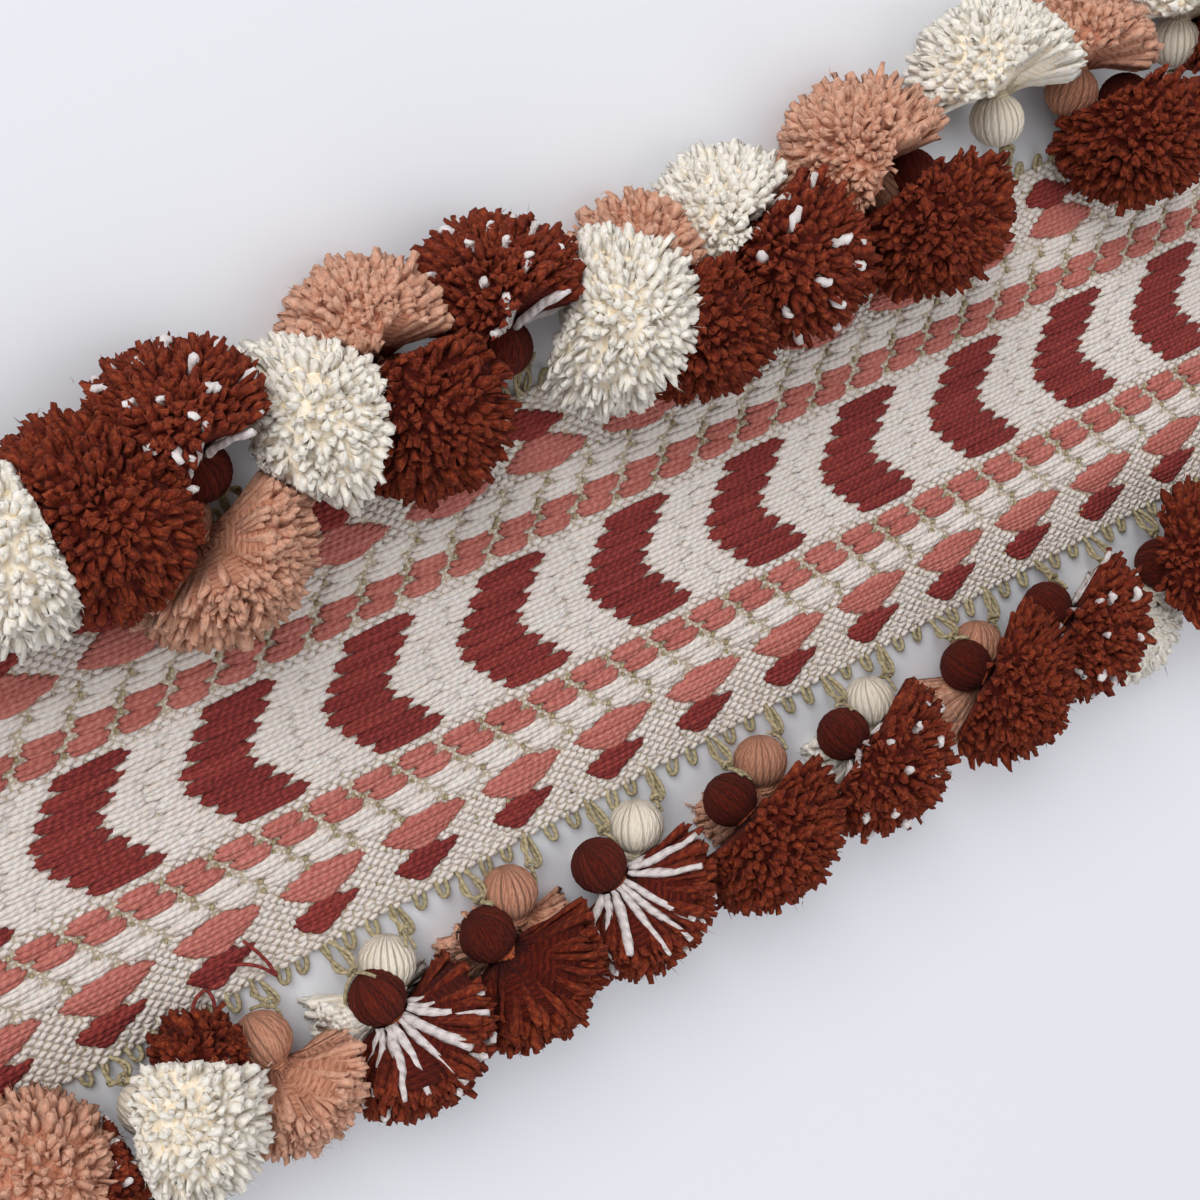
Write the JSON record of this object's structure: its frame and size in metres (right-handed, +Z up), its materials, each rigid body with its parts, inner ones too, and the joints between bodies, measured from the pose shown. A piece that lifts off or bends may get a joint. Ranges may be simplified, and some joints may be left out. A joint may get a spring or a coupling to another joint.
{
  "type": "pompom fringe trim",
  "caption": "Flat woven trim band with a looped braid along both edges and half-pompom tassels hung from the loops, laid flat for sewing or tying on as edging.",
  "frame": {"origin": "middle of the whole footprint, on the surface the trim lies on", "axes": "+X along the band, +Y across it towards the back edge, +Z up out of the woven face"},
  "size_m": [0.3388, 0.1474, 0.0333],
  "materials": {
    "woven_cotton": "matte",
    "khaki_cotton": "matte",
    "cream_yarn": "matte",
    "peach_yarn": "matte",
    "rust_yarn": "matte",
    "fleck_yarn": "matte"
  },
  "bodies": {
    "root": {"band": "woven_cotton", "braid_front": "khaki_cotton", "braid_back": "khaki_cotton", "tassel_front_01": "peach_yarn", "tassel_front_02": "fleck_yarn", "tassel_front_03": "cream_yarn", "tassel_front_04": "rust_yarn", "tassel_front_05": "peach_yarn", "tassel_front_06": "fleck_yarn", "tassel_front_07": "cream_yarn", "tassel_front_08": "rust_yarn", "tassel_front_09": "peach_yarn", "tassel_front_10": "fleck_yarn", "tassel_front_11": "cream_yarn", "tassel_front_12": "rust_yarn", "tassel_front_13": "peach_yarn", "tassel_front_14": "fleck_yarn", "tassel_front_15": "cream_yarn", "tassel_front_16": "rust_yarn", "tassel_front_17": "peach_yarn", "tassel_front_18": "fleck_yarn", "tassel_front_19": "cream_yarn", "tassel_front_20": "rust_yarn", "tassel_front_21": "peach_yarn", "tassel_front_22": "fleck_yarn", "tassel_front_23": "cream_yarn", "tassel_back_01": "rust_yarn", "tassel_back_02": "peach_yarn", "tassel_back_03": "fleck_yarn", "tassel_back_04": "cream_yarn", "tassel_back_05": "rust_yarn", "tassel_back_06": "peach_yarn", "tassel_back_07": "fleck_yarn", "tassel_back_08": "cream_yarn", "tassel_back_09": "peach_yarn", "tassel_back_10": "rust_yarn", "tassel_back_11": "fleck_yarn", "tassel_back_12": "cream_yarn", "tassel_back_13": "peach_yarn", "tassel_back_14": "rust_yarn", "tassel_back_15": "cream_yarn", "tassel_back_16": "fleck_yarn", "tassel_back_17": "peach_yarn", "tassel_back_18": "rust_yarn", "tassel_back_19": "cream_yarn", "tassel_back_20": "peach_yarn", "tassel_back_21": "rust_yarn", "tassel_back_22": "cream_yarn", "tassel_back_23": "rust_yarn"}
  },
  "joints": []
}
